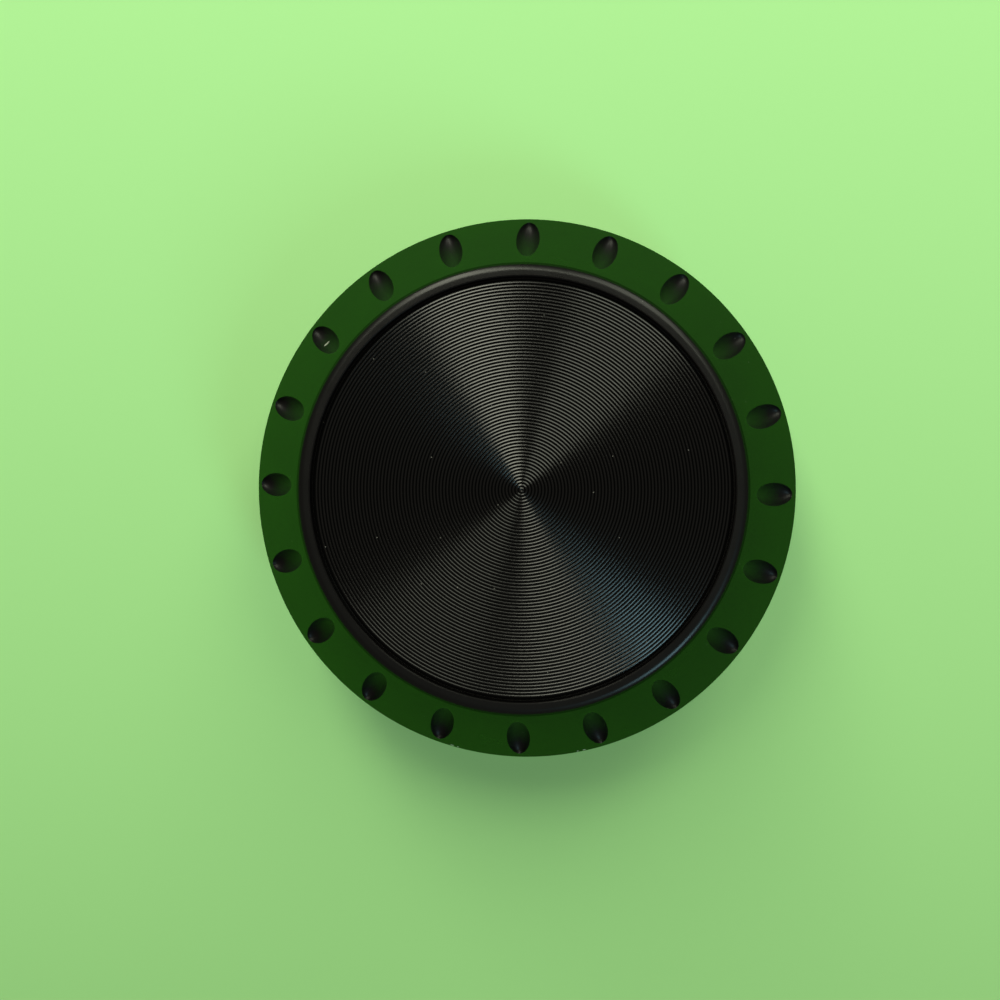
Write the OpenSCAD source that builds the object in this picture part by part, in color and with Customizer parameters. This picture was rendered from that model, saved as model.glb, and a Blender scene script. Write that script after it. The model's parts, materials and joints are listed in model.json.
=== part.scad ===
// Large push-on rotary knob. A moulded body has a conical rim with oval finger dimples,
// a raised collar round a recess, and a hollow ribbed back with a long split hub.
// A thin disc with concentric ridges is let into the recess, and a wire ring grips the hub.
// Millimetres. The axis is Z, the face looks along +Z and one dimple lies on +Y.
// The origin is the centre of the hub's open end, where the shaft comes in.

/* [Rim] */
// Diameter over the sharp outer edge
outer_d = 73; // [64:0.5:90]
// Width of the conical rim, seen along the axis
rim_w = 6.9; // [6:0.05:9]
// Height of the conical rim
rim_rise = 8.95; // [7:0.05:11]
// Height of the upright side below the outer edge
side_h = 5; // [3:0.1:9]
// Rounding of the outer edge
edge_round = 0.3; // [0.1:0.05:0.6]

/* [Dimples] */
// Number of finger dimples round the rim
dimple_count = 20; // [12:1:24]
// Width of one dimple
dimple_w = 3.1; // [2.6:0.1:3.6]
// Depth of one dimple at its deepest place
dimple_depth = 1.3; // [0.8:0.05:1.45]
// Plain slope left between a dimple and the outer edge
dimple_outer_land = 1; // [0.6:0.1:2]
// Plain slope left between a dimple and the collar
dimple_inner_land = 1.4; // [0.8:0.1:2.5]
// Share of the depth that a scoop lying level with the slope would reach; the rest comes from its lean
dimple_level_share = 0.95; // [0.85:0.01:1]

/* [Collar and recess] */
// Height of the collar above the top of the conical rim
collar_rise = 0.85; // [0.7:0.05:2]
// Rounding of the collar's outer top edge
collar_round = 1.2; // [0.3:0.05:1.4]
// Width of the collar, seen along the axis
collar_w = 1.9; // [1.7:0.05:3]
// Chamfer of the collar's inner top edge
collar_chamfer = 0.15; // [0.05:0.05:0.3]
// Depth of the recess below the collar's top
recess_depth = 1.9; // [1.4:0.1:3]

/* [Face disc] */
// Thickness of the disc up to the tops of its ridges
disc_t = 1.05; // [0.7:0.05:1.3]
// Gap between the disc and the wall of the recess
disc_gap = 0.3; // [0.1:0.05:0.6]
// Distance from one ridge to the next
ridge_pitch = 0.431; // [0.35:0.001:0.9]
// Height of a ridge above the groove beside it
ridge_h = 0.09; // [0.05:0.01:0.2]
// Width of the flat floor of a groove, and of the flat top of a ridge
groove_w = 0.05; // [0.04:0.01:0.12]
// Plain margin outside the last ridge
disc_margin = 0.2; // [0.1:0.05:1]

/* [Walls and ribs] */
// Wall behind the conical rim
rim_wall = 2.6; // [2.4:0.1:3.2]
// Wall of the upright side
side_wall = 1.8; // [1.4:0.1:3]
// Thickness of the web behind the disc
web_t = 2.2; // [1.6:0.1:3.5]
// Number of ribs between the hub and the rim
rib_count = 4; // [3:1:8]
// Thickness of a rib
rib_t = 1.6; // [1:0.1:2.5]
// How far the ribs stay inside the lower edge of the side
rib_setback = 3; // [1.5:0.1:5]

/* [Hub] */
// How far the hub stands out behind the lower edge of the side
hub_reach = 13; // [9:0.5:18]
// Diameter of the hub
hub_d = 12.5; // [11.5:0.1:16]
// Fillet where the hub meets the web
hub_fillet = 1.5; // [0.5:0.1:2.5]
// Diameter of the split end of the hub
collet_d = 10; // [9.4:0.1:11]
// Length of the split end of the hub
collet_len = 7; // [5.5:0.1:8.5]
// Diameter of the shaft bore
bore_d = 6.1; // [6:0.05:6.6]
// Lead-in chamfer at the mouth of the bore
bore_lead = 0.4; // [0.2:0.05:0.8]
// Solid left between the end of the bore and the recess
bore_end_wall = 4; // [3:0.1:6]
// Distance from the mouth to the snug inner stretch with the flat
flat_start = 10; // [9:0.1:13]
// Diameter of the snug stretch where it starts
snug_d = 6; // [5.9:0.02:6]
// Draft of the snug stretch: how much narrower it is at its end
snug_draft = 0.08; // [0.04:0.01:0.15]
// Size across the snug stretch, from its flat to the far wall
flat_across = 4.5; // [4.3:0.05:5.2]
// Width of the slit across the split end
slit_w = 1; // [0.6:0.1:1.4]

/* [Spring ring] */
// Thickness of the ring's wire
wire_d = 1; // [0.8:0.05:1.3]
// Distance from the hub's end to the middle of the ring
ring_z = 2.6; // [2:0.1:3.5]
// Depth of the groove that the ring lies in
ring_groove = 0.5; // [0.3:0.05:0.6]
// Clearance between the ring and its groove
ring_clearance = 0.05; // [0.02:0.01:0.1]
// Opening of the ring
ring_opening = 70; // [40:5:120]

/* [Hidden] */
$fn = 96;

// Steps in a rounded edge, and in half of the ellipsoid that cuts a dimple
round_steps = 6;
scoop_steps = 12;
// How far a cutting shape passes beyond what it cuts
over = 1;

// Radii, from the outer edge inwards
outer_r = outer_d / 2;
collar_r = outer_r - rim_w;
recess_r = collar_r - collar_w;
disc_r = recess_r - disc_gap;
hub_r = hub_d / 2;
collet_r = collet_d / 2;
bore_r = bore_d / 2;
snug_r = snug_d / 2;

// Heights, from the hub's end upwards
side_z = hub_reach;
edge_z = side_z + side_h;
rim_top_z = edge_z + rim_rise;
collar_z = rim_top_z + collar_rise;
recess_z = collar_z - recess_depth;
web_z = recess_z - web_t;
bore_top_z = recess_z - bore_end_wall;

// Slope of the conical rim: its length and its angle from level
slope_len = sqrt(rim_w * rim_w + rim_rise * rim_rise);
slope = atan2(rim_rise, rim_w);

// The inner face of the rim runs parallel to the cone, one wall behind it
cavity_r = outer_r - side_wall;
function inner_cone_z(r) = edge_z + (outer_r - r) * tan(slope) - rim_wall / cos(slope);
web_edge_r = outer_r - (web_z - edge_z + rim_wall / cos(slope)) / tan(slope);

// A dimple is cut by a long ellipsoid of revolution that leans into the slope at its outer end,
// so its outline on the slope is an ellipse and its deepest place lies nearer the outer edge
dimple_half = (slope_len - dimple_outer_land - dimple_inner_land) / 2;
level_depth = dimple_depth * dimple_level_share;
// Radius and half length of the ellipsoid, and half its height square to the slope
scoop_r = (pow(dimple_w / 2, 2) + pow(level_depth, 2)) / (2 * level_depth);
scoop_high = scoop_r / dimple_level_share;
scoop_half = dimple_half * scoop_high / (dimple_w / 2);
scoop_lean = asin(sqrt((pow(scoop_high, 2) - pow(scoop_r, 2)) / (pow(scoop_half, 2) - pow(scoop_r, 2))));
// Its middle floats above the slope, further in than the middle of the outline
scoop_lift = scoop_high - dimple_depth;
scoop_shift = (pow(scoop_half, 2) - pow(scoop_r, 2)) * sin(scoop_lean) * cos(scoop_lean)
    * scoop_lift / pow(scoop_high, 2);

// The ridges start at the middle of the disc
ridge_count = floor((disc_r - disc_margin) / ridge_pitch);
disc_z = recess_z;
ridge_top_z = disc_z + disc_t;
ridge_foot_z = ridge_top_z - ridge_h;

// The ring's wire lies against the floor of its groove
ring_r = collet_r - ring_groove + wire_d / 2 + ring_clearance;

// Points on an arc round [x, y], from angle a to angle b
function arc(x, y, r, a, b) =
    [for (i = [0 : round_steps]) let (t = a + (b - a) * i / round_steps) [x + r * cos(t), y + r * sin(t)]];

// Half section of the head without its hollow, from the axis outwards and down the side
module head_section() {
    // The collar's rounding ends where it meets the cone, or above it on an upright wall
    meet = acos(min(1, sin(slope) + (1 - collar_rise / collar_round) * cos(slope)));
    collar_end = max(0, 90 - slope - meet);
    edge_arc_z = edge_z - edge_round * (1 - sin(slope)) / cos(slope);
    polygon(concat(
        [[0, side_z], [0, recess_z], [recess_r, recess_z]],
        [[recess_r, collar_z - collar_chamfer], [recess_r + collar_chamfer, collar_z]],
        arc(collar_r - collar_round, collar_z - collar_round, collar_round, 90, collar_end),
        collar_end > 0 ? [] : [[collar_r, rim_top_z]],
        arc(outer_r - edge_round, edge_arc_z, edge_round, 90 - slope, 0),
        arc(outer_r - edge_round, side_z + edge_round, edge_round, 0, -90)
    ));
}

// Half section of the hollow between the hub and the rim
module cavity_section() {
    polygon(concat(
        [[hub_r, side_z - over], [cavity_r, side_z - over], [cavity_r, inner_cone_z(cavity_r)]],
        [[web_edge_r, web_z]],
        arc(hub_r + hub_fillet, web_z - hub_fillet, hub_fillet, 90, 180)
    ));
}

// Radial plates that are left standing in the hollow
module ribs() {
    rib_z = side_z + rib_setback;
    for (i = [0 : rib_count - 1])
        rotate(45 + i * 360 / rib_count)
            translate([0, -rib_t / 2, rib_z])
                cube([outer_r, rib_t, web_z - rib_z + over]);
}

// The hub, stepped down to its split end
module hub() {
    translate([0, 0, collet_len])
        cylinder(r = hub_r, h = side_z - collet_len + over);
    cylinder(r = collet_r, h = collet_len + over);
}

// One ellipsoid that cuts a dimple, lying on the +X side with its outer end down the slope
module dimple_scoop() {
    from_edge = dimple_outer_land + dimple_half + scoop_shift;
    outline = [for (i = [0 : scoop_steps]) let (t = 90 - 180 * i / scoop_steps)
        [scoop_r * cos(t), scoop_half * sin(t)]];
    translate([
        outer_r - from_edge * cos(slope) + scoop_lift * sin(slope),
        0,
        edge_z + from_edge * sin(slope) + scoop_lift * cos(slope)
    ])
        rotate([0, 90 + slope + scoop_lean, 0])
            rotate_extrude()
                polygon(outline);
}

// Shaft bore: a lead-in, a round stretch, and a snug stretch with a flat on its +X side
module shaft_bore() {
    translate([0, 0, -over])
        cylinder(r1 = bore_r + bore_lead + over, r2 = bore_r, h = bore_lead + over);
    translate([0, 0, -over])
        cylinder(r = bore_r, h = flat_start + over);
    difference() {
        translate([0, 0, flat_start - over])
            cylinder(r1 = snug_r, r2 = snug_r - snug_draft / 2, h = bore_top_z - flat_start + over);
        translate([flat_across - snug_r, -snug_d, flat_start - 2 * over])
            cube([snug_d, 2 * snug_d, bore_top_z]);
    }
}

// Moulded body: rim, collar, recess, web, ribs and hub in one piece
module knob_body() {
    color("#161816")
        difference() {
            union() {
                difference() {
                    rotate_extrude() head_section();
                    difference() {
                        rotate_extrude() cavity_section();
                        ribs();
                    }
                }
                hub();
            }
            for (i = [0 : dimple_count - 1])
                rotate(90 + i * 360 / dimple_count)
                    dimple_scoop();
            shaft_bore();
            translate([-hub_d, -slit_w / 2, -over])
                cube([2 * hub_d, slit_w, collet_len + over]);
            translate([0, 0, ring_z])
                rotate_extrude()
                    translate([collet_r - ring_groove + wire_d / 2, 0])
                        circle(d = wire_d);
        }
}

// Face disc: concentric ridges with sloping sides and narrow flat grooves
module face_disc() {
    flank = ridge_pitch / 2 - groove_w;
    ridges = [for (i = [0 : ridge_count - 1]) let (r = i * ridge_pitch)
        each [
            [r + groove_w / 2, ridge_foot_z],
            [r + groove_w / 2 + flank, ridge_top_z],
            [r + ridge_pitch - groove_w / 2 - flank, ridge_top_z],
            [r + ridge_pitch - groove_w / 2, ridge_foot_z]
        ]];
    color("#1b1b1d")
        rotate_extrude()
            polygon(concat(
                [[0, disc_z], [0, ridge_foot_z]],
                ridges,
                [[disc_r, ridge_foot_z], [disc_r, disc_z]]
            ));
}

// Open ring of spring wire in the groove of the split hub
module spring_ring() {
    color("silver")
        translate([0, 0, ring_z])
            rotate(ring_opening / 2)
                rotate_extrude(angle = 360 - ring_opening)
                    translate([ring_r, 0])
                        circle(d = wire_d);
}

knob_body();
face_disc();
spring_ring();
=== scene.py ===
import json
import math

import bpy
import numpy as np
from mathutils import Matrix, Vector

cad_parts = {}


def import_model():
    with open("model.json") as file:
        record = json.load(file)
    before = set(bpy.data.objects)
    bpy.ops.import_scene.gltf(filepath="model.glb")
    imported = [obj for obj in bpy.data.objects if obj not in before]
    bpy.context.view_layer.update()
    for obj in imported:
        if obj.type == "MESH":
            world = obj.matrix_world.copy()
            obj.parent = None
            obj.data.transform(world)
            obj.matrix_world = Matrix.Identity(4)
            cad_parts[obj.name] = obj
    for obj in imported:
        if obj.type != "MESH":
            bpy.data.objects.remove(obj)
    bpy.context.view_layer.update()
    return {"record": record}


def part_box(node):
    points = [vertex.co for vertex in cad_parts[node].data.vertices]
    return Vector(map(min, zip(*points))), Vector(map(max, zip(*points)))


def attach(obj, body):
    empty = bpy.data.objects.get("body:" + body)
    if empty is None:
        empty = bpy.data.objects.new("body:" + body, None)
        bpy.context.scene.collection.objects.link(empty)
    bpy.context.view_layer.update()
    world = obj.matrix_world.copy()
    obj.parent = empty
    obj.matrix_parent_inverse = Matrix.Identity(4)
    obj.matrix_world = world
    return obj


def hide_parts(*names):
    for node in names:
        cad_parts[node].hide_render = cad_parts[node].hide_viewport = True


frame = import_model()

MM = 0.001
TAU = 2 * math.pi

# Sizes read from the frame
body_high = np.array(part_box("knob_body")[1]) / MM
disc_low, disc_high = (np.array(corner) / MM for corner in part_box("face_disc"))
OUTER_R = body_high[0]
COLLAR_Z = body_high[2]
RECESS_Z = disc_low[2]
RIDGE_TOP_Z = disc_high[2]
DISC_R = disc_high[0]
BORE_R = frame["record"]["mounts"][0]["dims"]["r_mm"]

# Sizes of the moulding
RIM_W = 6.9
RIM_RISE = 8.95
SIDE_H = 5.0
EDGE_ROUND = 0.3
COLLAR_RISE = 0.85
COLLAR_ROUND = 1.2
COLLAR_W = 1.9
COLLAR_CHAMFER = 0.15
RIM_WALL = 2.6
SIDE_WALL = 1.8
WEB_T = 2.2
RIB_COUNT = 4
RIB_T = 1.6
RIB_SETBACK = 3.0
RIB_CHAMFER = 0.25
HUB_R = 6.25
HUB_FILLET = 1.5
COLLET_R = 5.0
COLLET_LEN = 7.0
COLLET_CHAMFER = 0.2
BORE_LEAD = 0.4
BORE_END_WALL = 4.0
FLAT_START = 10.0
SNUG_R = 3.0
SNUG_END_R = 2.96
FLAT_ACROSS = 4.5
SLIT_W = 1.0
WIRE_R = 0.5
RING_Z = 2.6
RING_R = 5.05
RING_OPENING = math.radians(70)
# How far the shells of the one moulding reach into each other: rib into hub, rib into wall, collet into hub
RIB_IN_HUB = 1.0
RIB_IN_WALL = 0.4
COLLET_IN_HUB = 0.05

# Heights and radii that follow from them
COLLAR_R = OUTER_R - RIM_W
RECESS_R = COLLAR_R - COLLAR_W
RIM_TOP_Z = COLLAR_Z - COLLAR_RISE
EDGE_Z = RIM_TOP_Z - RIM_RISE
SIDE_Z = EDGE_Z - SIDE_H
WEB_Z = RECESS_Z - WEB_T
CAVITY_R = OUTER_R - SIDE_WALL
BORE_TOP_Z = RECESS_Z - BORE_END_WALL
SLOPE = math.atan2(RIM_RISE, RIM_W)
SLOPE_LEN = math.hypot(RIM_W, RIM_RISE)
# The collar's rounding ends on the cone: its last angle above level, and how far past the cone's top
COLLAR_MEET = math.acos(math.sin(SLOPE) + (1 - COLLAR_RISE / COLLAR_ROUND) * math.cos(SLOPE))
COLLAR_END = math.pi / 2 - SLOPE - COLLAR_MEET
COLLAR_CUT = COLLAR_ROUND * (1 - math.cos(COLLAR_END)) / math.cos(SLOPE)
WEB_EDGE_R = OUTER_R - (WEB_Z - EDGE_Z + RIM_WALL / math.cos(SLOPE)) / math.tan(SLOPE)
CAVITY_CONE_Z = EDGE_Z + SIDE_WALL * math.tan(SLOPE) - RIM_WALL / math.cos(SLOPE)

# The finger dimples: each is what a long ellipsoid, leaning into the slope at its outer end, leaves behind
DIMPLE_COUNT = 20
DIMPLE_HALF_W = 1.55
DIMPLE_DEPTH = 1.3
DIMPLE_OUTER_LAND = 1.0
DIMPLE_INNER_LAND = 1.4
DIMPLE_LEVEL_SHARE = 0.95
DIMPLE_HALF = (SLOPE_LEN - DIMPLE_OUTER_LAND - DIMPLE_INNER_LAND) / 2
LEVEL_DEPTH = DIMPLE_DEPTH * DIMPLE_LEVEL_SHARE
SCOOP_R = (DIMPLE_HALF_W ** 2 + LEVEL_DEPTH ** 2) / (2 * LEVEL_DEPTH)
SCOOP_HIGH = SCOOP_R / DIMPLE_LEVEL_SHARE
SCOOP_HALF = DIMPLE_HALF * SCOOP_HIGH / DIMPLE_HALF_W
SCOOP_LEAN = math.asin(math.sqrt((SCOOP_HIGH ** 2 - SCOOP_R ** 2) / (SCOOP_HALF ** 2 - SCOOP_R ** 2)))
SCOOP_LIFT = SCOOP_HIGH - DIMPLE_DEPTH
SCOOP_SHIFT = (SCOOP_HALF ** 2 - SCOOP_R ** 2) * math.sin(2 * SCOOP_LEAN) / 2 * SCOOP_LIFT / SCOOP_HIGH ** 2
EDGE_SOFT = 0.03
# Depth from which a dimple has its full dull finish
DULL_DEPTH = 0.1
# Mesh of a dimple: rows and columns in it, steps just beside it, and shares of what is left of its sector
DIMPLE_ROWS = 29
DIMPLE_COLS = 15
BESIDE_STEPS = np.array([0.03, 0.08, 0.2])
SECTOR_SHARES = np.array([0.3, 0.65, 1.0])
NARROWEST_HALF = 0.12

# The ridges of the face disc
RIDGE_COUNT = 63
RIDGE_PITCH = 0.431
RIDGE_H = 0.09
DISC_TOP_CHAMFER = 0.08
DISC_BACK_CHAMFER = 0.05
DISC_COLS = 240
# Stations of one ridge from its groove to the next, as shares of the pitch, with heights as shares, and a
# share of painted light that is painted shade in the grooves and painted highlight on the outer shoulders
RIDGE_PLACES = np.array([0.0, 0.08, 0.40, 0.46, 0.52, 0.92])
RIDGE_SHARES = np.array([0.0, 0.02, 0.98, 1.0, 0.98, 0.02])
RIDGE_PAINTED_LIGHT = np.array([0.0, 0.0, 0.6, 0.8, 1.0, 0.05])

# Mesh edges that bend by less than this are shaded smooth
SMOOTH_DEG = 30.0


# Mesh helpers

def mesh_object(name, points, blocks):
    """A new object at the origin from points in millimetres and blocks of faces, rows of point numbers."""
    mesh = bpy.data.meshes.new(name)
    faces = [face for block in blocks for face in block.tolist()]
    mesh.from_pydata((points * MM).tolist(), [], faces)
    mesh.update()
    mesh.shade_smooth()
    mesh.set_sharp_from_angle(angle=math.radians(SMOOTH_DEG))
    piece = bpy.data.objects.new(name, mesh)
    bpy.context.collection.objects.link(piece)
    return piece


def point_mask(piece, name, values):
    """A named number for each point, taken from the values in order, and 0 for the points after them."""
    mask = piece.data.attributes.new(name, "FLOAT", "POINT")
    mask.data.foreach_set("value", np.pad(values, (0, len(piece.data.vertices) - len(values))))


def grid_faces(rows, cols):
    """Quads between rows of points, each row closed on itself."""
    row, col = np.meshgrid(np.arange(rows - 1), np.arange(cols), indexing="ij")
    beside = (col + 1) % cols
    start, end = row * cols, (row + 1) * cols
    return np.stack([start + col, end + col, end + beside, start + beside], -1).reshape(-1, 4)


def fan_faces(start, cols, pole):
    """Triangles from a pole point to one closed row, anticlockwise seen from above."""
    col = np.arange(cols)
    return np.stack([np.full(cols, pole), start + col, start + (col + 1) % cols], -1)


def tube_faces(rows, cols):
    """Quads between closed rows of points, and one face over each end."""
    end = np.arange(cols)[None, :]
    return [grid_faces(rows, cols), end, (end + (rows - 1) * cols)[:, ::-1]]


def turned(radius, height, angle, pole_z):
    """Closed surface of revolution: each point lies at its radius and height, turned by its angle.

    The three are arrays of rows and columns. The profile, down the rows, starts on the upper side near the
    axis and runs outwards and down, so that the faces look outwards. The first and the last row are closed
    by a point on the axis at the two heights of pole_z.
    """
    rows, cols = radius.shape
    points = np.stack([radius * np.cos(angle), radius * np.sin(angle), height], -1).reshape(-1, 3)
    points = np.vstack([points, [[0, 0, pole_z[0]], [0, 0, pole_z[1]]]])
    upper = fan_faces(0, cols, rows * cols)
    lower = fan_faces((rows - 1) * cols, cols, rows * cols + 1)[:, ::-1]
    return points, [grid_faces(rows, cols), upper, lower]


def arc(r, z, radius, start_deg, end_deg, steps=6):
    """Points of an arc in the half section, as rows of radius and height."""
    t = np.radians(np.linspace(start_deg, end_deg, steps + 1))
    return np.stack([r + radius * np.cos(t), z + radius * np.sin(t)], -1)


def line(start, end, steps):
    """Points of a straight stretch in the half section, without its last point."""
    share = np.arange(steps)[:, None] / steps
    return np.array(start) * (1 - share) + np.array(end) * share


def joined(shells):
    """The points and the face blocks of several closed shells, with the point numbers counted on."""
    points, blocks = [], []
    count = 0
    for shell_points, shell_blocks in shells:
        points.append(shell_points)
        blocks += [block + count for block in shell_blocks]
        count += len(shell_points)
    return np.vstack(points), blocks


# The moulded body

def dimple_depth(along, across):
    """Depth of a dimple below the slope, at a distance along it from the outline's middle and across it.

    It is the lower root of the leaning ellipsoid's equation, square to the slope. Its rim is softened by a
    smooth maximum with zero.
    """
    lean, level = math.sin(SCOOP_LEAN), math.cos(SCOOP_LEAN)
    outwards = SCOOP_SHIFT + along
    square = (lean / SCOOP_HALF) ** 2 + (level / SCOOP_R) ** 2
    linear = outwards * lean * level * (1 / SCOOP_R ** 2 - 1 / SCOOP_HALF ** 2)
    rest = outwards ** 2 * ((level / SCOOP_HALF) ** 2 + (lean / SCOOP_R) ** 2) + (across / SCOOP_R) ** 2 - 1
    inside = linear ** 2 - square * rest
    root = (linear + np.sqrt(np.maximum(inside, 0))) / square
    reach = np.where(inside > 0, root - SCOOP_LIFT, -SCOOP_LIFT)
    return (reach + np.sqrt(reach ** 2 + EDGE_SOFT ** 2)) / 2


def dimple_columns(half_width, radius):
    """Angles of one sector's columns: spaced by a sine across a dimple, so that they are close together at
    its edges, then in steps out to the sector's ends."""
    inner = np.sin(np.radians(np.linspace(-90, 90, DIMPLE_COLS))) * half_width[:, None]
    near = half_width[:, None] + BESIDE_STEPS
    sector = math.pi / DIMPLE_COUNT * radius[:, None]
    far = near[:, -1:] + (sector - near[:, -1:]) * SECTOR_SHARES
    right = np.hstack([near, far])
    return np.hstack([-right[:, ::-1][:, 1:], inner, right]) / radius[:, None]


def head_profile():
    """Half section from the recess to the end wall of the bore, as radius and height, with slope distances.

    The third row is the distance from the middle of a dimple towards the outer edge, the fourth is 1 on the
    conical rim, and the fifth is 1 on the steep foot of the collar.
    """
    beside = 0.05
    foot_step = 0.12
    side_step = 0.3
    hub_step = 0.5
    pole_r = 0.5
    inner_end = -DIMPLE_HALF - DIMPLE_INNER_LAND - COLLAR_CUT + beside
    outer_end = DIMPLE_HALF + DIMPLE_OUTER_LAND - EDGE_ROUND
    along = np.concatenate([
        [inner_end],
        np.linspace(inner_end + foot_step, -DIMPLE_HALF - beside, 4),
        DIMPLE_HALF * np.sin(np.radians(np.linspace(-90, 90, DIMPLE_ROWS))),
        np.linspace(DIMPLE_HALF + beside, outer_end, 3),
    ])
    from_edge = DIMPLE_HALF + DIMPLE_OUTER_LAND - along
    cone = np.stack([OUTER_R - from_edge * math.cos(SLOPE), EDGE_Z + from_edge * math.sin(SLOPE)], -1)
    edge_arc_z = EDGE_Z - EDGE_ROUND * (1 - math.sin(SLOPE)) / math.cos(SLOPE)
    collar_end_deg = math.degrees(COLLAR_END)
    above = np.vstack([
        line((pole_r, RECESS_Z), (RECESS_R, RECESS_Z), 3),
        line((RECESS_R, RECESS_Z), (RECESS_R, COLLAR_Z - COLLAR_CHAMFER), 3),
        [[RECESS_R, COLLAR_Z - COLLAR_CHAMFER], [RECESS_R + COLLAR_CHAMFER, COLLAR_Z]],
        arc(COLLAR_R - COLLAR_ROUND, COLLAR_Z - COLLAR_ROUND, COLLAR_ROUND, 90, collar_end_deg, 12),
    ])
    below = np.vstack([
        arc(OUTER_R - EDGE_ROUND, edge_arc_z, EDGE_ROUND, 90 - math.degrees(SLOPE), 0),
        line((OUTER_R, edge_arc_z - side_step), (OUTER_R, SIDE_Z + EDGE_ROUND), 4),
        arc(OUTER_R - EDGE_ROUND, SIDE_Z + EDGE_ROUND, EDGE_ROUND, 0, -90),
        line((OUTER_R - EDGE_ROUND - side_step, SIDE_Z), (CAVITY_R, SIDE_Z), 2),
        line((CAVITY_R, SIDE_Z), (CAVITY_R, CAVITY_CONE_Z), 3),
        line((CAVITY_R, CAVITY_CONE_Z), (WEB_EDGE_R, WEB_Z), 5),
        line((WEB_EDGE_R, WEB_Z), (HUB_R + HUB_FILLET, WEB_Z), 5),
        arc(HUB_R + HUB_FILLET, WEB_Z - HUB_FILLET, HUB_FILLET, 90, 180),
        line((HUB_R, WEB_Z - HUB_FILLET - hub_step), (HUB_R, COLLET_LEN), 4),
        line((HUB_R, COLLET_LEN), (BORE_R, COLLET_LEN), 2),
        line((BORE_R, COLLET_LEN), (BORE_R, FLAT_START), 2),
        [[BORE_R, FLAT_START]],
        line((SNUG_R, FLAT_START), (SNUG_END_R, BORE_TOP_Z), 3),
        [[SNUG_END_R, BORE_TOP_Z]],
    ])
    profile = np.vstack([above, cone, below])
    distance, on_cone, at_foot = np.zeros((3, len(profile)))
    span = slice(len(above), len(above) + len(cone))
    distance[span] = along
    on_cone[span] = 1
    at_foot[len(above) - 4:len(above) + 1] = [0.5, 1, 1, 1, 1]
    return profile[:, 0], profile[:, 1], distance, on_cone, at_foot


def head_shell():
    """The head and hub as one turned shell: dimples are pressed into the cone along its normal, and the snug
    stretch of the bore has its flat where the radius is limited by a plane on the +X side."""
    radius, height, along, on_cone, at_foot = head_profile()
    half_width = DIMPLE_HALF_W * np.sqrt(np.maximum(1 - (along / DIMPLE_HALF) ** 2, 0))
    half_width = np.where(on_cone > 0, np.maximum(half_width, NARROWEST_HALF), DIMPLE_HALF_W / 2)
    wide_r = np.maximum(radius, COLLAR_R)
    sector = dimple_columns(half_width, wide_r)
    turns = math.pi / 2 + np.arange(DIMPLE_COUNT) * TAU / DIMPLE_COUNT
    angle = (turns[None, :, None] + sector[:, None, :]).reshape(len(radius), -1)
    across = np.tile(sector * wide_r[:, None], (1, DIMPLE_COUNT))
    depth = dimple_depth(along[:, None], across) * on_cone[:, None]
    r = radius[:, None] - depth * math.sin(SLOPE)
    z = height[:, None] - depth * math.cos(SLOPE)
    flat_x = FLAT_ACROSS - SNUG_R
    facing = np.maximum(np.cos(angle), 1e-6)
    rounding = 0.01
    snug = (radius < BORE_R - rounding) & (radius > SNUG_END_R - rounding)
    r = np.where(snug[:, None], np.minimum(r, flat_x / facing), r)
    masks = {
        "in_dimple": np.clip(depth / DULL_DEPTH, 0, 1).reshape(-1),
        "at_foot": np.repeat(at_foot, angle.shape[1]),
    }
    return turned(r, z, angle, (RECESS_Z, BORE_TOP_Z)), masks


def collet_half(turn):
    """One half of the split hub end: a closed loop of an outer and an inner arc, cut off by the slit's two
    planes, carried up the axis. The outer radius dips round the ring's groove, the inner one flares at the
    mouth."""
    groove = RING_Z + WIRE_R * np.sin(np.radians(np.linspace(-90, 90, 9)))
    above_groove = 4.5
    z = np.concatenate([[0, COLLET_CHAMFER, BORE_LEAD], groove, [above_groove, COLLET_LEN + COLLET_IN_HUB]])
    dip = np.sqrt(np.maximum(WIRE_R ** 2 - (z - RING_Z) ** 2, 0))
    outer = COLLET_R - dip - np.maximum(COLLET_CHAMFER - z, 0)
    inner = BORE_R + np.maximum(BORE_LEAD - z, 0)
    share = np.linspace(0, 1, 25)[None, :]
    outer_cut = np.arcsin(SLIT_W / 2 / outer)[:, None]
    inner_cut = np.arcsin(SLIT_W / 2 / inner)[:, None]
    outer_angle = outer_cut + (math.pi - 2 * outer_cut) * share
    inner_angle = math.pi - inner_cut - (math.pi - 2 * inner_cut) * share
    angle = np.hstack([outer_angle, inner_angle]) + turn
    radius = np.hstack([outer[:, None] + 0 * outer_angle, inner[:, None] + 0 * inner_angle])
    height = z[:, None] + 0 * angle
    rows, cols = angle.shape
    points = np.stack([radius * np.cos(angle), radius * np.sin(angle), height], -1).reshape(-1, 3)
    k = np.arange(cols // 2 - 1)
    bottom = np.stack([k, cols - 1 - k, cols - 2 - k, k + 1], -1)
    top = (bottom + (rows - 1) * cols)[:, ::-1]
    return points, [grid_faces(rows, cols)[:, ::-1], bottom, top]


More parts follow.
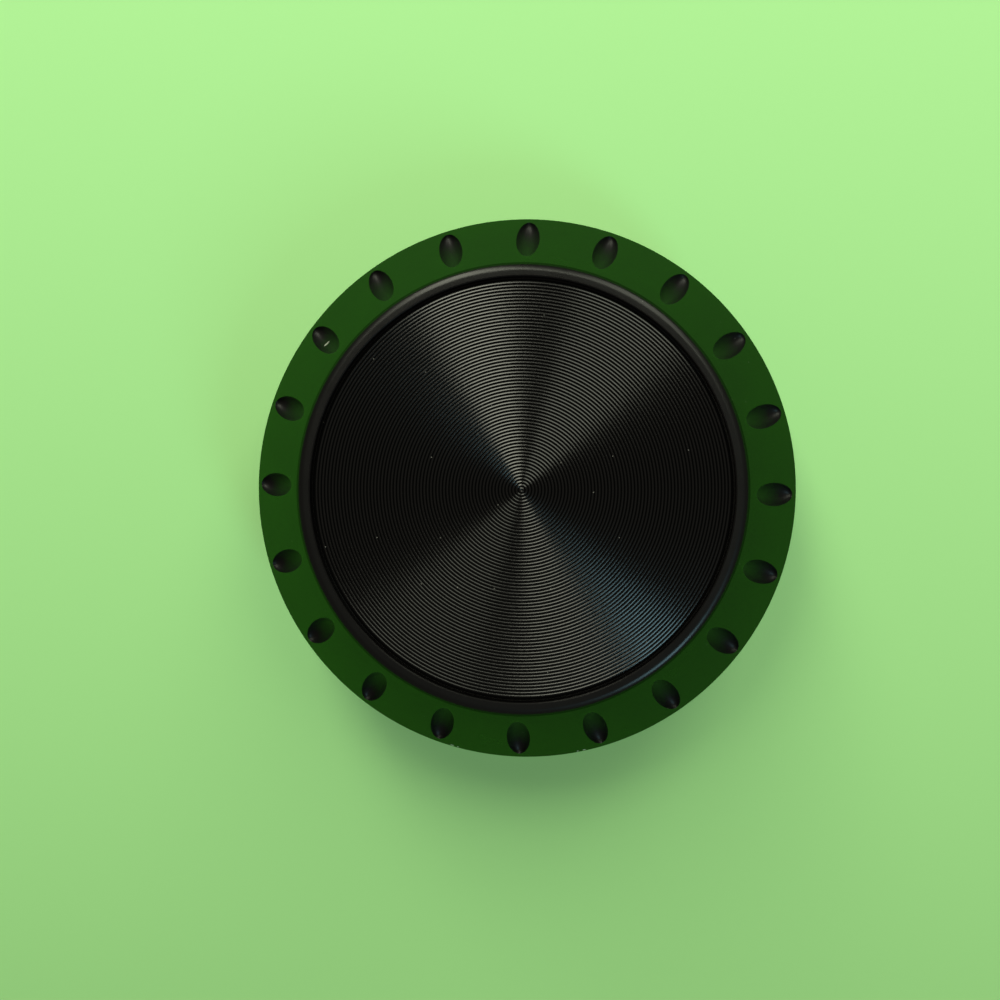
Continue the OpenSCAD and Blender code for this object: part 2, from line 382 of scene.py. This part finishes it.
def rib(turn):
    """One rib: its outline between hub and rim, carried across its thickness with a small chamfer below."""
    low = SIDE_Z + RIB_SETBACK
    inside = HUB_R - RIB_IN_HUB
    outside = CAVITY_R + RIB_IN_WALL
    top = WEB_Z + RIB_IN_WALL
    outline = np.array([
        [inside, low],
        [outside, low],
        [outside, CAVITY_CONE_Z + RIB_IN_WALL],
        [WEB_EDGE_R + RIB_IN_WALL, top],
        [inside, top],
    ])
    raised = outline.copy()
    raised[:2, 1] += RIB_CHAMFER
    layers = np.stack([raised, outline, outline, raised])
    sides = np.array([-RIB_T / 2, RIB_CHAMFER - RIB_T / 2, RIB_T / 2 - RIB_CHAMFER, RIB_T / 2])
    across = sides[:, None] + 0 * layers[..., 0]
    points = np.stack([layers[..., 0], across, layers[..., 1]], -1).reshape(-1, 3)
    cos, sin = math.cos(turn), math.sin(turn)
    spin = np.array([[cos, sin, 0], [-sin, cos, 0], [0, 0, 1]])
    return points @ spin, tube_faces(len(layers), len(outline))


def knob_body():
    """The whole moulding: head and hub, the two halves of the split end, and the ribs.

    The attribute in_dimple is 1 inside the dimples, and at_foot is 1 where the collar rises from the rim,
    where the material paints shade.
    """
    head, masks = head_shell()
    ribs = [rib(math.pi / 4 + i * TAU / RIB_COUNT) for i in range(RIB_COUNT)]
    shells = [head, collet_half(0), collet_half(math.pi)] + ribs
    piece = mesh_object("knob_body_shell", *joined(shells))
    for name, values in masks.items():
        point_mask(piece, name, values)
    return piece


# The face disc and the spring ring

def face_disc():
    """The disc as a turned shell: for each pitch a ridge with two straight flanks, a narrow round crest and
    a narrow round groove, then a plain margin, an upright edge and a flat back.

    The disc's point mask of painted light runs from 0 in the grooves, painted shade, to 1 on the outer
    shoulders, painted highlight.
    """
    margin_step = 0.1
    pole_r = 1.0
    foot = RIDGE_TOP_Z - RIDGE_H
    ridge_r = ((np.arange(RIDGE_COUNT)[:, None] + RIDGE_PLACES) * RIDGE_PITCH).reshape(-1)[1:]
    ridge_z = np.tile(foot + RIDGE_H * RIDGE_SHARES, RIDGE_COUNT)[1:]
    ridge_painted_light = np.tile(RIDGE_PAINTED_LIGHT, RIDGE_COUNT)[1:]
    edge = np.array([
        [ridge_r[-1] + margin_step, foot],
        [DISC_R - DISC_TOP_CHAMFER, foot],
        [DISC_R, foot - DISC_TOP_CHAMFER],
        [DISC_R, RECESS_Z + DISC_BACK_CHAMFER],
        [DISC_R - DISC_BACK_CHAMFER, RECESS_Z],
        [pole_r, RECESS_Z],
    ])
    radius = np.concatenate([ridge_r, edge[:, 0]])[:, None]
    height = np.concatenate([ridge_z, edge[:, 1]])[:, None]
    gloss = np.concatenate([ridge_painted_light, np.zeros(len(edge))])
    angle = np.linspace(0, TAU, DISC_COLS, endpoint=False) + 0 * radius
    shell = turned(radius + 0 * angle, height + 0 * angle, angle, (foot, RECESS_Z))
    piece = mesh_object("face_disc_ridged", *shell)
    point_mask(piece, "ridge_painted_light", np.repeat(gloss, DISC_COLS))
    return piece


def spring_ring():
    """Open wire ring: a circle carried round the hub, drawn in at both ends to a rounded tip."""
    cols = 16
    plain_rows = 90
    slant = np.radians(np.linspace(5, 90, 6))
    tip = np.sin(slant)
    thick = np.concatenate([tip, np.ones(plain_rows), tip[::-1]])[:, None]
    end = WIRE_R / RING_R
    reach = end * (1 - np.cos(slant))
    span = TAU - RING_OPENING
    plain = np.linspace(end, span - end, plain_rows + 2)[1:-1]
    turn = RING_OPENING / 2 + np.concatenate([reach, plain, span - reach[::-1]])[:, None]
    around = np.linspace(0, TAU, cols, endpoint=False)[None, :]
    radius = RING_R + WIRE_R * thick * np.cos(around)
    height = RING_Z + WIRE_R * thick * np.sin(around)
    points = np.stack([radius * np.cos(turn), radius * np.sin(turn), height], -1).reshape(-1, 3)
    return mesh_object("spring_ring_wire", points, tube_faces(len(turn), cols))


# Helpers for materials

def new_material(name):
    """A material with its nodes, links and Principled shader at hand."""
    material = bpy.data.materials.new(name)
    material.use_nodes = True
    tree = material.node_tree
    return material, tree.nodes, tree.links, tree.nodes["Principled BSDF"]


def feed(links, value, socket):
    """Links a socket to another one, or sets it to a number or a colour."""
    if isinstance(value, bpy.types.NodeSocket):
        links.new(value, socket)
    else:
        socket.default_value = value


def object_place(nodes):
    """The place of a point in Object coordinates."""
    return nodes.new("ShaderNodeTexCoord").outputs["Object"]


def attribute(nodes, name):
    """The value of a piece's own point mask."""
    node = nodes.new("ShaderNodeAttribute")
    node.attribute_name = name
    return node.outputs["Fac"]


def calculated(nodes, links, operation, *values):
    """The result of a Math node; the values are numbers or sockets."""
    node = nodes.new("ShaderNodeMath")
    node.operation = operation
    for value, socket in zip(values, node.inputs):
        feed(links, value, socket)
    return node.outputs["Value"]


def length(nodes, links, vector):
    """The length of a vector."""
    node = nodes.new("ShaderNodeVectorMath")
    node.operation = "LENGTH"
    links.new(vector, node.inputs[0])
    return node.outputs["Value"]


def ramp(nodes, links, value, start, end, low=0.0, high=1.0, kind="LINEAR"):
    """Runs from low to high while the value runs from start to end, and stays level outside."""
    node = nodes.new("ShaderNodeMapRange")
    node.interpolation_type = kind
    node.inputs["From Min"].default_value = start
    node.inputs["From Max"].default_value = end
    node.inputs["To Min"].default_value = low
    node.inputs["To Max"].default_value = high
    links.new(value, node.inputs["Value"])
    return node.outputs["Result"]


def blend(nodes, links, share, low, high):
    """Number that runs from low to high with the share; low and high are numbers or sockets."""
    node = nodes.new("ShaderNodeMix")
    links.new(share, node.inputs["Factor"])
    feed(links, low, node.inputs["A"])
    feed(links, high, node.inputs["B"])
    return node.outputs["Result"]


def tint(nodes, links, share, low, high):
    """Colour that runs from low to high with the share; low and high are colours or sockets."""
    node = nodes.new("ShaderNodeMix")
    node.data_type = "RGBA"
    links.new(share, node.inputs["Factor"])
    feed(links, low, node.inputs["A"])
    feed(links, high, node.inputs["B"])
    return node.outputs["Result"]


def noise(nodes, links, scale, detail=3.0):
    """A noise texture on Object coordinates."""
    texture = nodes.new("ShaderNodeTexNoise")
    texture.inputs["Scale"].default_value = scale
    texture.inputs["Detail"].default_value = detail
    links.new(object_place(nodes), texture.inputs["Vector"])
    return texture.outputs["Fac"]


def slow_change(nodes, links, scale, lowest, highest):
    """Noise whose usual range, 0.3 to 0.7, is spread from the lowest to the highest value."""
    return ramp(nodes, links, noise(nodes, links, scale), 0.3, 0.7, lowest, highest)


def bump(nodes, links, value, height_mm):
    """A bump from a texture, with its height in millimetres."""
    node = nodes.new("ShaderNodeBump")
    node.inputs["Distance"].default_value = height_mm * MM
    links.new(value, node.inputs["Height"])
    return node.outputs["Normal"]


def mark(nodes, links, place_mm, size_mm, turn_deg):
    """1 inside a small ellipsoid with these half sizes, turned about Z, falling to 0 at its surface."""
    local = nodes.new("ShaderNodeMapping")
    local.vector_type = "TEXTURE"
    local.inputs["Location"].default_value = [v * MM for v in place_mm]
    local.inputs["Rotation"].default_value = (0, 0, math.radians(turn_deg))
    local.inputs["Scale"].default_value = [v * MM for v in size_mm]
    links.new(object_place(nodes), local.inputs["Vector"])
    return ramp(nodes, links, length(nodes, links, local.outputs["Vector"]), 1.0, 0.7)


def dust(nodes, links, cells, size, dimensions):
    """Sparse specks: the middles of some Voronoi cells, chosen by each cell's random colour."""
    left_clean = 0.58
    texture = nodes.new("ShaderNodeTexVoronoi")
    texture.voronoi_dimensions = dimensions
    texture.inputs["Scale"].default_value = cells
    links.new(object_place(nodes), texture.inputs["Vector"])
    near = ramp(nodes, links, texture.outputs["Distance"], size, size * 0.5)
    chosen = calculated(nodes, links, "GREATER_THAN", texture.outputs["Color"], left_clean)
    return calculated(nodes, links, "MULTIPLY", near, chosen)


# Materials

# Satin plastic: its black, its dust, and the pale colour of the edge spots and the fibre. Dimples keep the
# duller finish of the mould, and at the collar's foot a lower specular paints shade into the crease
PLASTIC_BLACK = (0.003, 0.003, 0.003, 1)
PLASTIC_DUST = (0.12, 0.12, 0.11, 1)
PALE_MARK_COLOUR = (0.62, 0.63, 0.57, 1)
PLASTIC_IOR = 1.5
PLASTIC_ROUGHNESS = (0.27, 0.33)
DIMPLE_ROUGHNESS = 0.5
PLASTIC_SPECULAR = 0.5
FOOT_SHADE_SPECULAR = 0.06
GRAIN_MM = 0.004
# Pale spots on the outer edge: angle in degrees from +X and half length along it, then their other sizes
EDGE_PALE_SPOTS = [(255.3, 0.32), (256.6, 0.12), (282.6, 0.14), (284.0, 0.26)]
PALE_SPOT_INSET = 0.2
PALE_SPOT_RISE = 0.15
PALE_SPOT_HALF = (0.12, 0.3)
# A caught fibre: the dimple that it lies in, its half sizes, its turn against the dimple, its place there
FIBRE_AT_DEG = 144.0
FIBRE_SIZE = (0.55, 0.12, 0.9)
FIBRE_TURN_DEG = -96.0
FIBRE_INWARDS = 0.2
FIBRE_ASIDE = 0.4
FIBRE_DEPTH_SHARE = 0.95
# Dyed aluminium: black, dust, and how much the grooves and the ridges shine, a painted shade and a painted
# highlight
DYED_BLACK = (0.002, 0.002, 0.002, 1)
DYED_DUST = (0.20, 0.19, 0.17, 1)
DYED_IOR = 1.5
DYED_ROUGHNESS = (0.17, 0.20)
GROOVE_SHADE_SPECULAR = 0.03
RIDGE_HIGHLIGHT_SPECULAR = 0.7
# Range of the disc's painted light over which the painted shade of a groove turns into the painted highlight
# of a ridge
SHOULDER = (0.15, 0.6)


def pale_marks(nodes, links):
    """Mask of the pale spots on the outer edge and the fibre in its dimple: the largest of their marks."""
    from_edge = DIMPLE_HALF + DIMPLE_OUTER_LAND + FIBRE_INWARDS
    r = OUTER_R - from_edge * math.cos(SLOPE)
    z = EDGE_Z + from_edge * math.sin(SLOPE) - FIBRE_DEPTH_SHARE * DIMPLE_DEPTH / math.cos(SLOPE)
    turn = math.radians(FIBRE_AT_DEG) + FIBRE_ASIDE / r
    place = (r * math.cos(turn), r * math.sin(turn), z)
    total = mark(nodes, links, place, FIBRE_SIZE, FIBRE_AT_DEG + FIBRE_TURN_DEG)
    pale_spot_r = OUTER_R - PALE_SPOT_INSET
    for angle, half_length in EDGE_PALE_SPOTS:
        turn = math.radians(angle)
        place = (pale_spot_r * math.cos(turn), pale_spot_r * math.sin(turn), EDGE_Z + PALE_SPOT_RISE)
        pale_spot = mark(nodes, links, place, (half_length, *PALE_SPOT_HALF), angle + 90)
        total = calculated(nodes, links, "MAXIMUM", total, pale_spot)
    return total


def satin_plastic():
    """Satin black plastic: a fine moulded grain in the bump, slow changes of gloss from handling, duller
    dimples, painted shade at the collar foot through a lower specular, sparse dust, pale spots on the outer
    edge and one fibre."""
    material, nodes, links, shader = new_material("satin_black_plastic")
    shader.inputs["IOR"].default_value = PLASTIC_IOR
    handled = slow_change(nodes, links, 130.0, *PLASTIC_ROUGHNESS)
    roughness = blend(nodes, links, attribute(nodes, "in_dimple"), handled, DIMPLE_ROUGHNESS)
    links.new(roughness, shader.inputs["Roughness"])
    # painted shade: the specular is turned down at the collar's foot, so that the crease renders as a dark
    # line
    specular = blend(nodes, links, attribute(nodes, "at_foot"), PLASTIC_SPECULAR, FOOT_SHADE_SPECULAR)
    links.new(specular, shader.inputs["Specular IOR Level"])
    dusty = tint(nodes, links, dust(nodes, links, 560.0, 0.055, "3D"), PLASTIC_BLACK, PLASTIC_DUST)
    marked = tint(nodes, links, pale_marks(nodes, links), dusty, PALE_MARK_COLOUR)
    links.new(marked, shader.inputs["Base Color"])
    grain = noise(nodes, links, 9000.0, 2.0)
    links.new(bump(nodes, links, grain, GRAIN_MM), shader.inputs["Normal"])
    return material


def dyed_aluminium():
    """Black dyed turned aluminium: a painted highlight of high specular on the ridges, painted shade of low
    specular in the grooves, and sparse dust.
    """
    material, nodes, links, shader = new_material("dyed_turned_aluminium")
    shader.inputs["IOR"].default_value = DYED_IOR
    links.new(slow_change(nodes, links, 60.0, *DYED_ROUGHNESS), shader.inputs["Roughness"])
    # painted light: a low specular paints shade into the grooves and a high one paints a highlight on the
    # outer shoulders
    on_ridge = ramp(nodes, links, attribute(nodes, "ridge_painted_light"), *SHOULDER)
    specular = blend(nodes, links, on_ridge, GROOVE_SHADE_SPECULAR, RIDGE_HIGHLIGHT_SPECULAR)
    links.new(specular, shader.inputs["Specular IOR Level"])
    dusty = tint(nodes, links, dust(nodes, links, 170.0, 0.016, "2D"), DYED_BLACK, DYED_DUST)
    links.new(dusty, shader.inputs["Base Color"])
    return material


def spring_steel():
    """Bright drawn wire with fine marks."""
    material, nodes, links, shader = new_material("bright_spring_steel")
    shader.inputs["Base Color"].default_value = (0.55, 0.55, 0.56, 1)
    shader.inputs["Metallic"].default_value = 1.0
    links.new(slow_change(nodes, links, 3000.0, 0.2, 0.4), shader.inputs["Roughness"])
    return material


# Stage, light and camera

# Colour of the floor and the stronger green of its painted reflection in the knob, the share of painted
# light that the floor gives off by itself at -Y and at +Y, how far out that share changes, where the lit
# part ends, and the dark room and dim sky that the knob mirrors
FLOOR_HALF_MM = 6000.0
FLOOR_COLOUR = (0.44, 0.85, 0.32, 1)
PAINTED_REFLECTION_COLOUR = (0.13, 0.655, 0.05, 1)
FLOOR_PAINTED_LIGHT = (0.0, 0.5)
PAINTED_LIGHT_REACH_M = 0.11
LIT_REACH_M = (0.15, 0.21)
ROOM_COLOUR = (0.03, 0.03, 0.03, 1)
SKY_COLOUR = (0.11, 0.10, 0.085, 1)


def seen_directly(nodes, links, strength):
    """The strength for rays from the camera and for mirrored and refracted ones, and 0 for others."""
    path = nodes.new("ShaderNodeLightPath")
    total = 0.0
    for kind in ("Is Camera Ray", "Is Glossy Ray", "Is Transmission Ray"):
        total = calculated(nodes, links, "MULTIPLY_ADD", path.outputs[kind], strength, total)
    return total


def mixed(nodes, links, share, first, second):
    """A shader that turns from the first into the second with the share."""
    node = nodes.new("ShaderNodeMixShader")
    for value, socket in zip((share, first, second), node.inputs):
        links.new(value, socket)
    return node.outputs["Shader"]


def floor():
    """A wide pale floor at the hub's end.

    Up to about 0.2 m from the axis it is lit, takes the shadow, shows in the knob a painted reflection in a
    stronger green, and gives off painted light that makes it brighter towards +Y. Further out the camera
    sees the same colour evenly, and all other rays see a dark room.
    """
    corners = np.array([[-1, -1, 0], [1, -1, 0], [1, 1, 0], [-1, 1, 0]]) * FLOOR_HALF_MM
    piece = mesh_object("floor", corners, [np.arange(4)[None, :]])
    material, nodes, links, shader = new_material("pale_floor")
    path = nodes.new("ShaderNodeLightPath")
    # painted reflection: glossy rays see the floor in a stronger green than the camera does
    colour = tint(nodes, links, path.outputs["Is Glossy Ray"], FLOOR_COLOUR, PAINTED_REFLECTION_COLOUR)
    links.new(colour, shader.inputs["Base Color"])
    links.new(colour, shader.inputs["Emission Color"])
    shader.inputs["Roughness"].default_value = 0.9
    shader.inputs["Specular IOR Level"].default_value = 0.1
    place = object_place(nodes)
    split = nodes.new("ShaderNodeSeparateXYZ")
    links.new(place, split.inputs["Vector"])
    # painted light: the floor glows by itself, from nothing at -Y to half its colour at +Y, for the camera
    # and in reflections
    painted_light_share = ramp(nodes, links, split.outputs["Y"], -PAINTED_LIGHT_REACH_M, PAINTED_LIGHT_REACH_M, *FLOOR_PAINTED_LIGHT)
    links.new(seen_directly(nodes, links, painted_light_share), shader.inputs["Emission Strength"])
    room = nodes.new("ShaderNodeBsdfDiffuse")
    room.inputs["Color"].default_value = ROOM_COLOUR
    even = nodes.new("ShaderNodeEmission")
    even.inputs["Color"].default_value = FLOOR_COLOUR
    camera_ray = path.outputs["Is Camera Ray"]
    far_look = mixed(nodes, links, camera_ray, room.outputs["BSDF"], even.outputs["Emission"])
    far = ramp(nodes, links, length(nodes, links, place), *LIT_REACH_M, kind="SMOOTHSTEP")
    whole = mixed(nodes, links, far, shader.outputs["BSDF"], far_look)
    links.new(whole, nodes["Material Output"].inputs["Surface"])
    piece.data.materials.append(material)
    return piece


def stand(piece, right, up, back, place):
    """Puts a lamp or a camera at its place in metres, with its own three axes along these directions."""
    matrix = np.eye(4)
    matrix[:3] = np.stack([right, up, back, place], -1)
    piece.matrix_world = matrix.T.tolist()
    bpy.context.collection.objects.link(piece)


def softbox(name, azimuth_deg, polar_deg, distance, width, depth, watts, colour):
    """A rectangular lamp that faces the knob from an azimuth (+X towards +Y) and an angle off the axis."""
    lamp = bpy.data.lights.new(name, "AREA")
    lamp.shape = "RECTANGLE"
    lamp.size = width
    lamp.size_y = depth
    lamp.energy = watts
    lamp.color = colour
    az, polar = math.radians(azimuth_deg), math.radians(polar_deg)
    out = np.array([math.sin(polar) * math.cos(az), math.sin(polar) * math.sin(az), math.cos(polar)])
    side = np.array([-math.sin(az), math.cos(az), 0])
    up = np.cross(out, side)
    stand(bpy.data.objects.new(name, lamp), side, up, out, out * distance)


def world():
    """A dim even sky that shows as a pale backdrop to the camera."""
    sky = bpy.data.worlds.new("studio")
    sky.use_nodes = True
    bpy.context.scene.world = sky
    nodes, links = sky.node_tree.nodes, sky.node_tree.links
    path = nodes.new("ShaderNodeLightPath")
    dim, pale = nodes["Background"], nodes.new("ShaderNodeBackground")
    dim.inputs["Color"].default_value = SKY_COLOUR
    pale.inputs["Color"].default_value = FLOOR_COLOUR
    camera_ray = path.outputs["Is Camera Ray"]
    both = mixed(nodes, links, camera_ray, dim.outputs["Background"], pale.outputs["Background"])
    links.new(both, nodes["World Output"].inputs["Surface"])


# The picture is 1000 pixels square, and the axis meets the level of the outer edge at this pixel
IMAGE_PX = 1000
KNOB_PX = (524.6, 489.0)
FOCAL_PX = 1597.0
SENSOR_MM = 36.0
CAMERA_MM = 216.8
# How far the camera stands off the axis, towards +X and towards +Y, and how far it is rolled
CAMERA_TILT_DEG = (2.5, 0.9)
CAMERA_ROLL_DEG = 1.1
CLIP_START_M = 0.01


def camera():
    """The camera looks almost straight along the axis, with +Y up in the picture."""
    target = np.array([0, 0, EDGE_Z])
    tilt = np.radians(CAMERA_TILT_DEG)
    out = np.array([math.sin(tilt[0]), math.sin(tilt[1]), 0])
    out[2] = math.sqrt(1 - out[0] ** 2 - out[1] ** 2)
    place = target + out * CAMERA_MM
    roll = math.radians(CAMERA_ROLL_DEG)
    right = np.cross([-math.sin(roll), math.cos(roll), 0], out)
    right /= np.linalg.norm(right)
    up = np.cross(out, right)
    step = CAMERA_MM / FOCAL_PX
    aim = target - right * (KNOB_PX[0] - IMAGE_PX / 2) * step + up * (KNOB_PX[1] - IMAGE_PX / 2) * step
    back = (place - aim) / np.linalg.norm(place - aim)
    right = np.cross(up, back)
    right /= np.linalg.norm(right)
    up = np.cross(back, right)
    lens = bpy.data.cameras.new("camera")
    lens.sensor_width = SENSOR_MM
    lens.lens = FOCAL_PX / IMAGE_PX * SENSOR_MM
    lens.clip_start = CLIP_START_M
    piece = bpy.data.objects.new("camera", lens)
    stand(piece, right, up, back, place * MM)
    bpy.context.scene.camera = piece


# Assembly

def dress(piece, node, material):
    """Gives a piece its finish and puts it in place of its node."""
    piece.data.materials.append(material)
    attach(piece, "root")
    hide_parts(node)


dress(knob_body(), "knob_body", satin_plastic())
dress(face_disc(), "face_disc", dyed_aluminium())
dress(spring_ring(), "spring_ring", spring_steel())
floor()

world()
softbox("window_top_left", azimuth_deg=112, polar_deg=46, distance=2.1, width=0.56, depth=1.9,
        watts=20.0, colour=(0.98, 1.0, 0.80))
softbox("window_top_right", azimuth_deg=62, polar_deg=46, distance=2.1, width=0.74, depth=1.9,
        watts=11.5, colour=(0.95, 1.0, 0.80))
softbox("window_low_right", azimuth_deg=-51, polar_deg=46.5, distance=2.4, width=0.42, depth=1.0,
        watts=8.6, colour=(0.48, 0.88, 1.0))
camera()
bpy.context.scene.view_settings.view_transform = "Standard"
